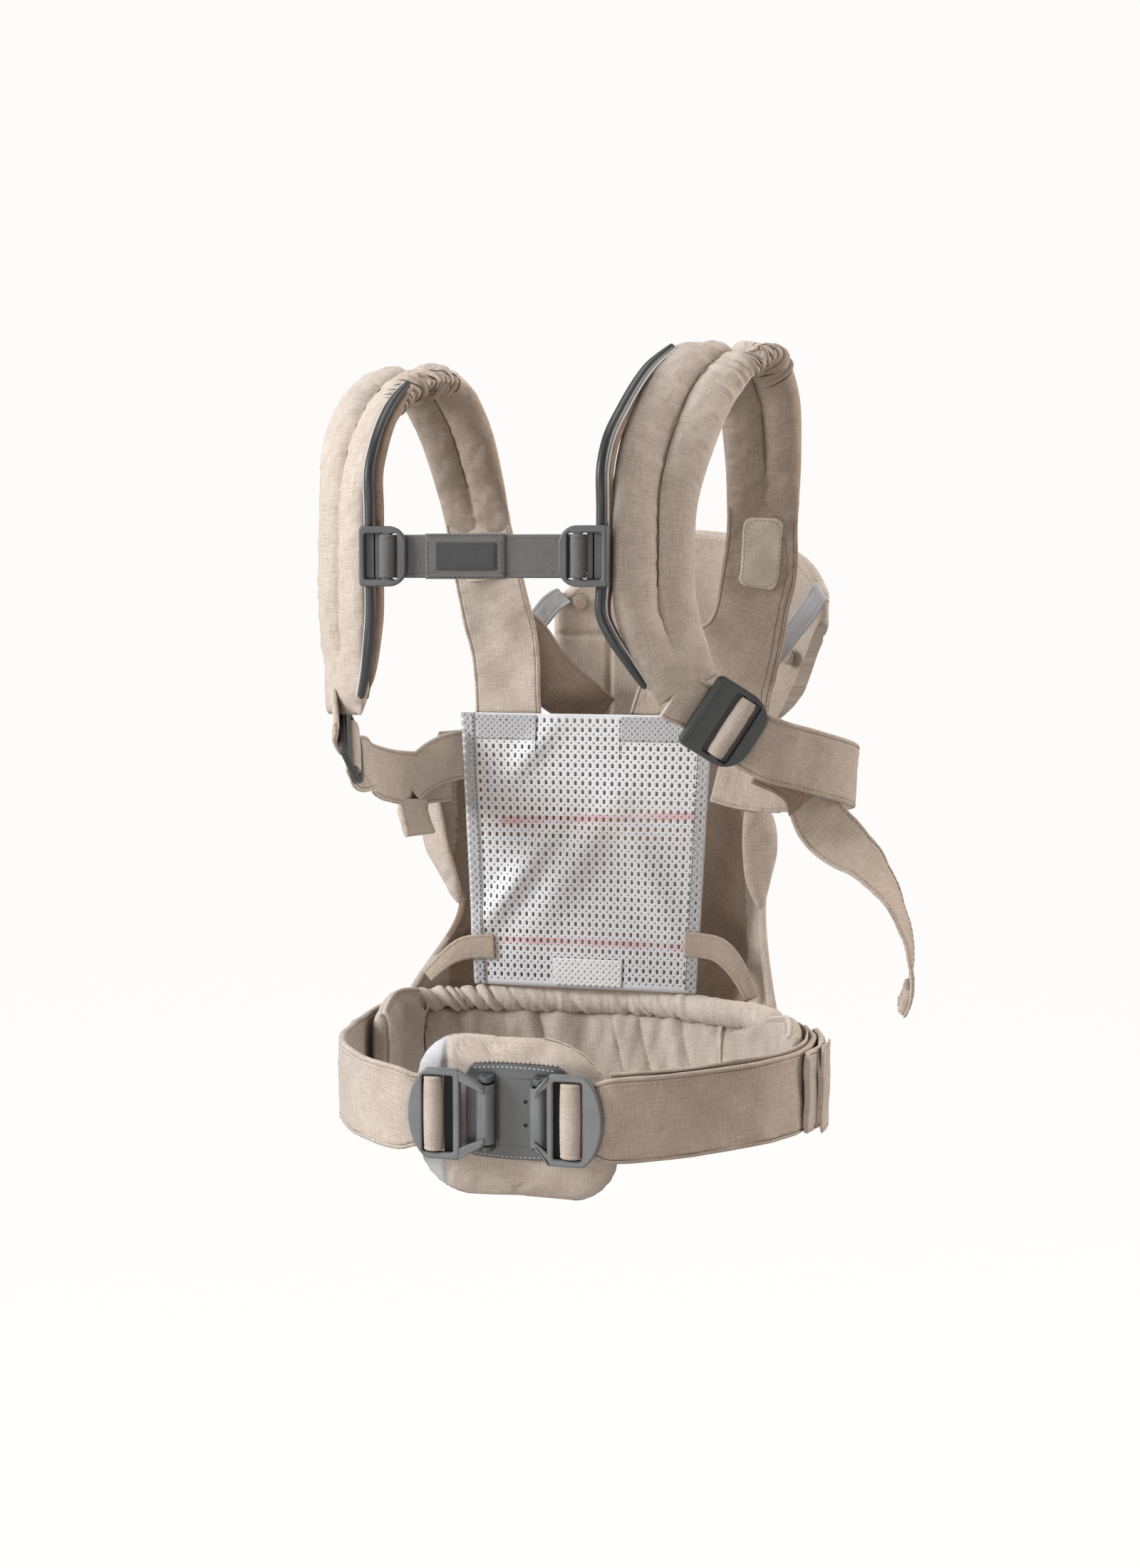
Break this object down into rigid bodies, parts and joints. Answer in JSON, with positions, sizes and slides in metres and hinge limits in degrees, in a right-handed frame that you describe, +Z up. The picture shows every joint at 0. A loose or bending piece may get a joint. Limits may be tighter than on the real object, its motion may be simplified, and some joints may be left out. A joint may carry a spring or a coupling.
{
  "type": "soft baby carrier",
  "caption": "Soft front baby carrier with a buckled waist belt, padded shoulder straps, a sliding chest strap, a mesh inner panel and a fold-down head support.",
  "frame": {"origin": "centre of the waist ring, at half the height of the waist belt", "axes": "+Z up along the wearer's torso, +Y the way the wearer faces, towards the baby, and +X the wearer's right"},
  "size_m": [0.3759, 0.3433, 0.5176],
  "materials": {
    "beige_fabric": "woven melange cotton",
    "beige_lining": "woven cotton lining",
    "mesh": "open spacer mesh",
    "label_white": "woven tape",
    "slate_plastic": "satin moulded",
    "pin_plastic": "smooth",
    "rail_plastic": "smooth extruded",
    "grey_webbing": "woven webbing",
    "patch": "stitched woven patch",
    "grey_trim": "smooth tape",
    "snap": "satin"
  },
  "bodies": {
    "carrier": {"belt_fold_right": "beige_fabric", "belt_keeper_right": "beige_fabric", "belt_strap_left_side": "beige_fabric", "belt_strap_right": "beige_fabric", "buckle_base_plate": "slate_plastic", "front_panel": "beige_fabric", "hook_pin_left": "pin_plastic", "hook_pin_right": "pin_plastic", "leg_pad_left": "beige_lining", "leg_pad_right": "beige_lining", "lumbar_pad": "beige_fabric", "lumbar_pad_side": "grey_trim", "mesh_binding_left": "mesh", "mesh_binding_right": "mesh", "mesh_label": "label_white", "panel_strap_left": "beige_lining", "panel_tab_left": "beige_fabric", "panel_tab_right": "beige_fabric", "seat_tape_left": "beige_fabric", "seat_tape_right": "beige_fabric", "shoulder_pad_left": "beige_fabric", "shoulder_pad_right": "beige_fabric", "side_webbing_left": "beige_fabric", "side_webbing_right": "beige_fabric", "strap_front_left": "beige_fabric", "strap_front_right": "beige_fabric", "strap_patch_left": "beige_fabric", "strap_patch_right": "beige_fabric", "strap_piping_left": "grey_trim", "strap_piping_right": "grey_trim", "strap_rail_left": "rail_plastic", "strap_rail_right": "rail_plastic", "strap_tab_left": "beige_fabric", "strap_tab_right": "beige_fabric", "waist_pad": "beige_fabric", "waist_pad_end_left": "beige_fabric", "waist_pad_end_right": "beige_fabric", "waist_pad_top_roll": "beige_fabric", "wearer_panel_mesh": "mesh", "webbing_return_right": "beige_fabric", "webbing_tail_left": "beige_fabric"},
    "chest_strap": {"chest_webbing": "grey_webbing", "chest_webbing_overlap": "grey_webbing", "chest_patch": "patch", "ladder_lock_left": "slate_plastic", "ladder_lock_right": "slate_plastic"},
    "head_support": {"head_support": "beige_fabric", "head_snaps": "snap", "head_elastic_left": "grey_trim", "head_elastic_right": "grey_trim"},
    "belt_left": {"belt_strap_left_back": "beige_fabric"},
    "buckle_left": {"buckle_frame_left": "slate_plastic", "belt_loop_left": "beige_fabric"},
    "buckle_right": {"buckle_frame_right": "slate_plastic", "belt_loop_right": "beige_fabric"},
    "glide_left": {"glide_left": "slate_plastic", "glide_loop_left": "beige_fabric"},
    "glide_right": {"glide_right": "slate_plastic", "glide_loop_right": "beige_fabric"},
    "tail_right": {"webbing_tail_right": "beige_fabric"}
  },
  "joints": [
    {"name": "chest_strap_slide", "type": "slide", "parent": "carrier", "child": "chest_strap", "axis": [0, 0, 1], "range_m": [-0.015, 0.03]},
    {"name": "head_support_fold", "type": "hinge", "parent": "carrier", "child": "head_support", "pos_m": [0.05, 0.212, 0.216], "axis": [-1, 0, 0], "range_deg": [0, 100]},
    {"name": "belt_left_swing", "type": "hinge", "parent": "carrier", "child": "belt_left", "pos_m": [-0.1073, -0.087, 0], "axis": [0, 0, -1], "range_deg": [0, 60]},
    {"name": "buckle_left_release", "type": "hinge", "parent": "belt_left", "child": "buckle_left", "pos_m": [-0.0605, -0.122, 0], "axis": [0, 0, -1], "range_deg": [0, 50]},
    {"name": "buckle_right_tilt", "type": "hinge", "parent": "carrier", "child": "buckle_right", "pos_m": [0.021, -0.119, 0], "axis": [0, 0, -1], "range_deg": [0, 12]},
    {"name": "glide_left_tilt", "type": "hinge", "parent": "carrier", "child": "glide_left", "pos_m": [-0.10777, -0.09253, 0.22553], "axis": [-0.2733, 0.6911, 0.6691], "range_deg": [-8, 8]},
    {"name": "glide_right_tilt", "type": "hinge", "parent": "carrier", "child": "glide_right", "pos_m": [0.11547, -0.09055, 0.23912], "axis": [0.5294, 0.0934, 0.8432], "range_deg": [-8, 8]},
    {"name": "tail_right_swing", "type": "hinge", "parent": "carrier", "child": "tail_right", "pos_m": [0.168, -0.026, 0.178], "axis": [0.7307, 0.4567, 0.5074], "range_deg": [-15, 15]}
  ]
}
